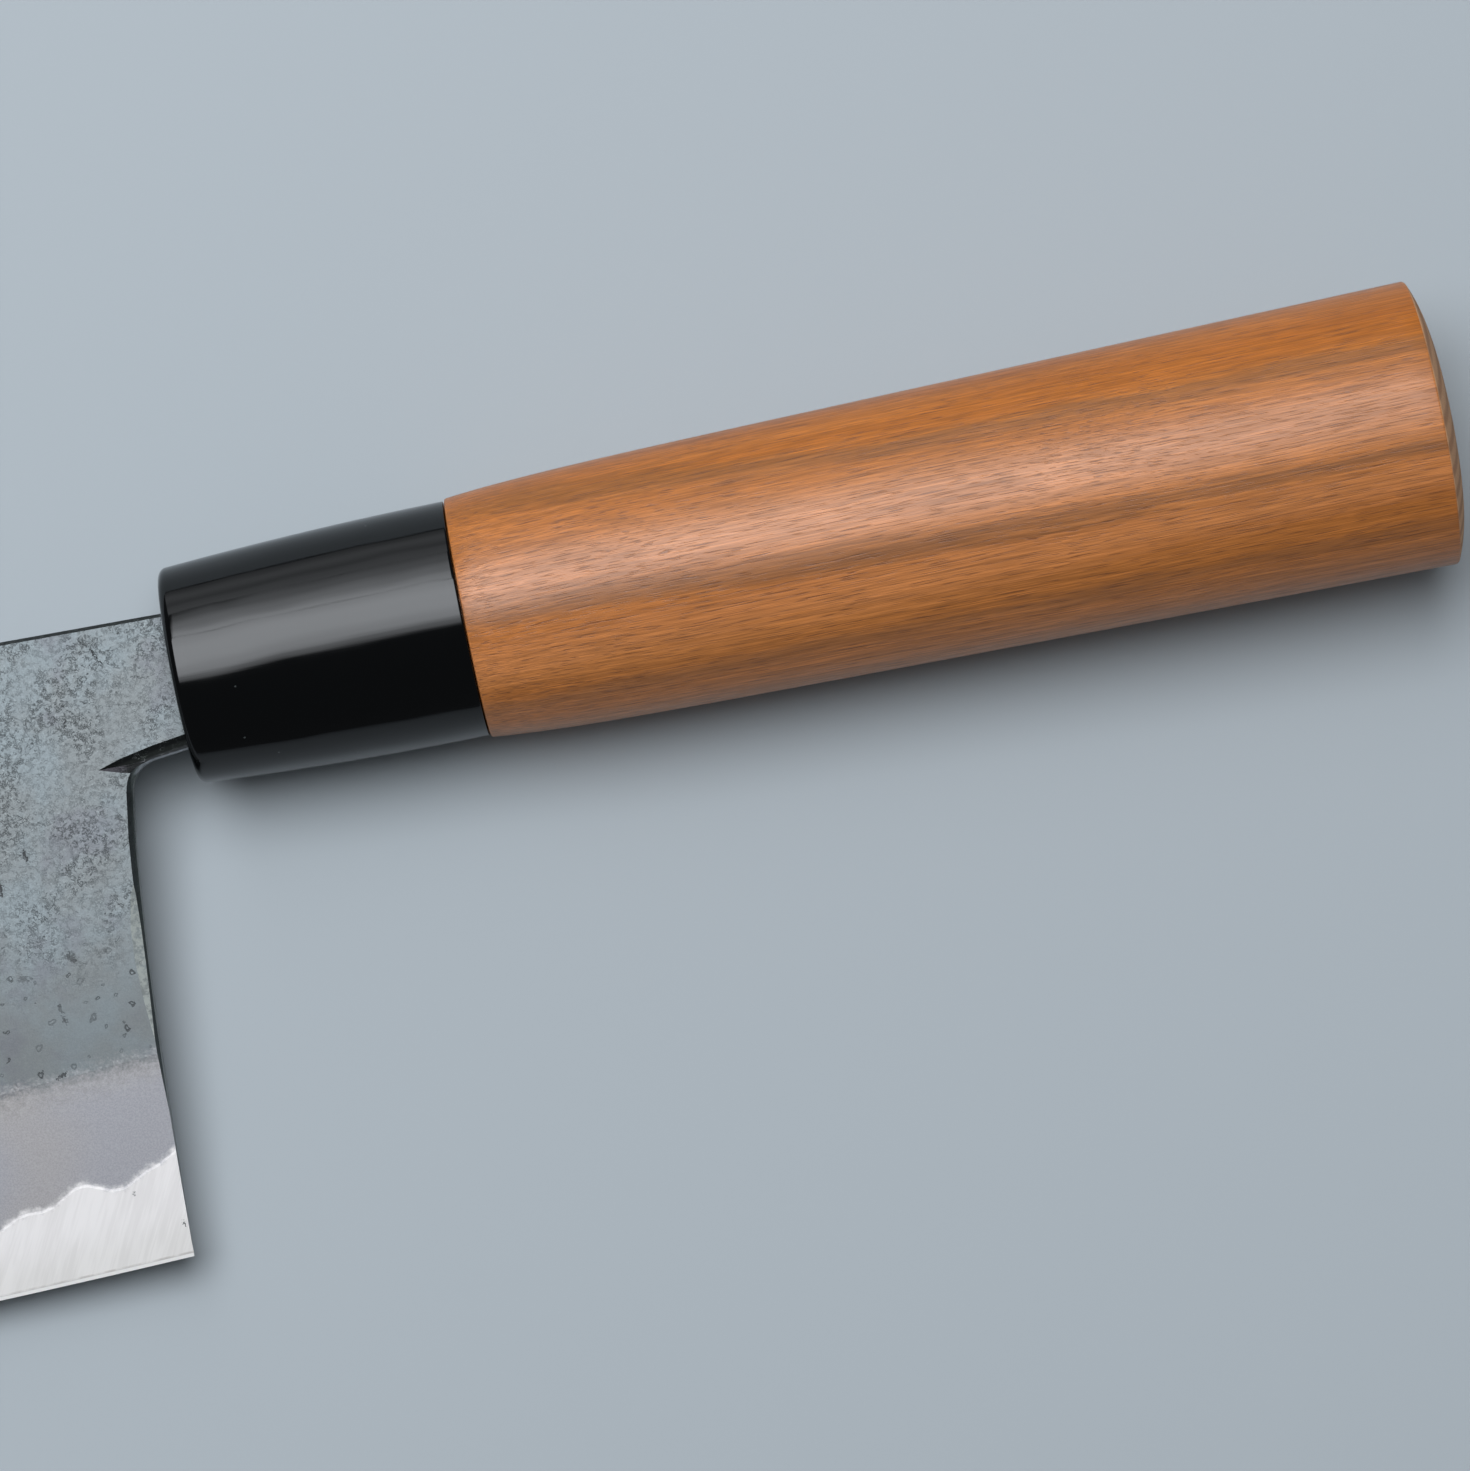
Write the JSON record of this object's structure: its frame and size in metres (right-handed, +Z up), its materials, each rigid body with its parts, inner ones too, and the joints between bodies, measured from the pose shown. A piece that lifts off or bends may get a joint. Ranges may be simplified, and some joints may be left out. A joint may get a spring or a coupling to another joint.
{
  "type": "chinese cleaver",
  "caption": "Hand-forged laminated cleaver with a tall, nearly rectangular blade, a filed neck, a glossy black ferrule and a swelling oval wooden handle, lying on its side.",
  "frame": {"origin": "on the surface that the knife lies on, under the middle of its footprint", "axes": "+X along the knife towards the handle's butt, +Y across the blade towards its spine, +Z up, out of the blade's left face"},
  "size_m": [0.3068, 0.074, 0.0275],
  "materials": {
    "core_steel": "bright, finely scratched",
    "forged_iron": "forge scale above, satin ground bevel below",
    "black_horn": "polished",
    "dark_resin": "smooth fill",
    "oiled_wood": "satin oil over long fine grain"
  },
  "bodies": {
    "root": {"core_steel": "core_steel", "left_cladding": "forged_iron", "right_cladding": "forged_iron", "ferrule": "black_horn", "tang_seal": "dark_resin", "handle": "oiled_wood"}
  },
  "joints": []
}
